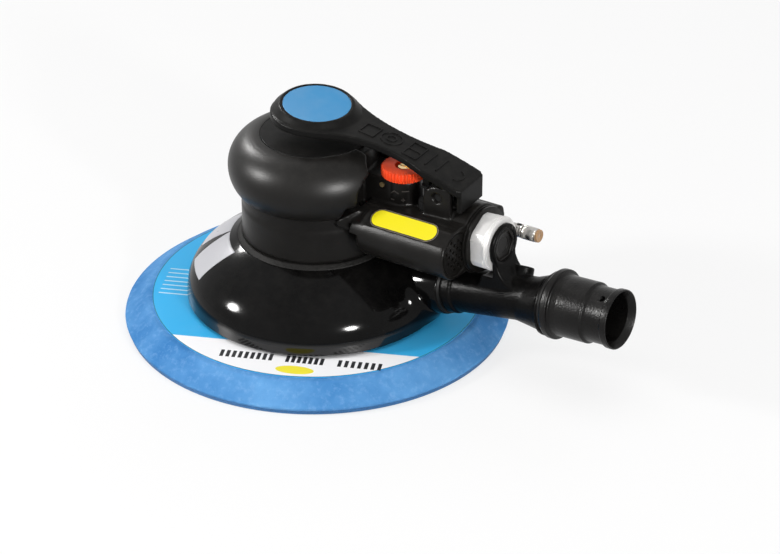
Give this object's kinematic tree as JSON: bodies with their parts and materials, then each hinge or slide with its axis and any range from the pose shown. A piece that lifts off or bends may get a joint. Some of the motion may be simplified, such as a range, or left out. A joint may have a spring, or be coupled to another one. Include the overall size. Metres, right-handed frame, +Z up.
{
  "type": "orbital sander",
  "caption": "Palm-grip air random orbital sander with a round blue foam pad, glossy dust shroud, throttle lever, speed dial and a swivelling dust tube outlet.",
  "frame": {"origin": "centre of the sanding pad's working face", "axes": "+Z up through the pad spindle to the palm lever, +X along the dust tube towards the hose, +Y to the side of the air inlet nipple"},
  "size_m": [0.2073, 0.1494, 0.0924],
  "materials": {
    "foam_blue": "matte closed-cell foam",
    "hook_black": "fine hooked cloth",
    "plate_grey": "moulded",
    "label_blue": "printed film",
    "steel": "ground",
    "dark_steel": "black oxide",
    "fibre_tan": "pressed fibre",
    "rotor_alloy": "machined",
    "vane_brown": "laminated fibre",
    "seal_black": "smooth",
    "housing_black": "moulded, fine texture",
    "grip_rubber": "satin",
    "shroud_black": "glossy",
    "ring_grey": "fine ribs",
    "tube_black": "satin",
    "nut_alloy": "bright machined",
    "felt_tan": "felt",
    "nipple_chrome": "knurled and polished",
    "lever_black": "fine texture",
    "badge_blue": "plain printed disc",
    "brass": "turned",
    "dial_orange": "knurled",
    "sticker_yellow": "plain, dark edge",
    "sticker_white": "plain"
  },
  "bodies": {
    "housing": {"lower_end_plate": "rotor_alloy", "upper_end_plate": "rotor_alloy", "lower_bearing": "steel", "upper_bearing": "steel", "cylinder_liner": "steel", "liner_dowel": "steel", "lock_ring": "dark_steel", "shaft_seal": "seal_black", "motor_housing": "housing_black", "palm_grip": "grip_rubber", "top_cap": "housing_black", "dust_shroud": "shroud_black", "neck_ring": "ring_grey", "vacuum_tube": "tube_black", "tube_seal": "seal_black", "port_plug": "tube_black", "cuff_ring": "seal_black", "exhaust_collar": "housing_black", "exhaust_nut": "nut_alloy", "exhaust_grille": "tube_black", "muffler_felt": "felt_tan", "inlet_nipple": "nipple_chrome", "nipple_disc": "fibre_tan", "nipple_seal": "seal_black", "hinge_pin": "steel", "valve_bush": "steel", "valve_spring": "steel", "regulator_seal": "seal_black", "stop_pin": "brass", "oil_sticker": "sticker_yellow", "shroud_stickers": "sticker_white"},
    "crank": {"crankshaft": "steel", "spindle_bearing_lower": "steel", "spindle_bearing_upper": "steel", "bearing_spacer": "steel", "bearing_clip": "dark_steel", "rotor": "rotor_alloy", "rotor_key": "steel", "rotor_vanes": "vane_brown", "shaft_nut": "dark_steel"},
    "pad": {"hook_face": "hook_black", "pad_foam": "foam_blue", "pad_plate": "plate_grey", "pad_label": "label_blue", "pad_stud": "steel", "pad_washer": "fibre_tan", "pad_spindle": "steel", "spindle_screw": "dark_steel"},
    "cuff": {"hose_cuff": "tube_black"},
    "lever": {"throttle_lever": "lever_black", "lever_badge": "badge_blue"},
    "valve": {"valve_stem": "steel", "valve_poppet": "seal_black"},
    "dial": {"speed_dial": "dial_orange", "regulator_spindle": "brass"}
  },
  "joints": [
    {"name": "rotor_spin", "type": "hinge", "parent": "housing", "child": "crank", "pos_m": [0.00088, -0.00088, 0.05], "axis": [0, 0, 1], "continuous": true},
    {"name": "pad_spin", "type": "hinge", "parent": "crank", "child": "pad", "pos_m": [0, 0, 0.02], "axis": [0, 0, 1], "continuous": true},
    {"name": "lever_press", "type": "hinge", "parent": "housing", "child": "lever", "pos_m": [0.05717, 0.00404, 0.0689], "axis": [0.0872, -0.9962, 0], "range_deg": [0, 4.5], "stiffness_Nm_per_rad": 0.6, "springref_deg": -17.19},
    {"name": "valve_slide", "type": "slide", "parent": "housing", "child": "valve", "axis": [0, 0, -1], "range_m": [0, 0.0006], "deforming": ["valve_spring"]},
    {"name": "dial_turn", "type": "hinge", "parent": "housing", "child": "dial", "pos_m": [0.03838, 0.00412, 0.07], "axis": [0, 0, 1], "range_deg": [-75, 75]},
    {"name": "cuff_swivel", "type": "hinge", "parent": "housing", "child": "cuff", "pos_m": [0.10345, 0.00712, 0.03617], "axis": [0.9962, 0, 0.0872], "continuous": true}
  ],
  "couplings": [
    {"joint": "valve_slide", "follows": "lever_press", "m_per_rad": 0.0075}
  ]
}
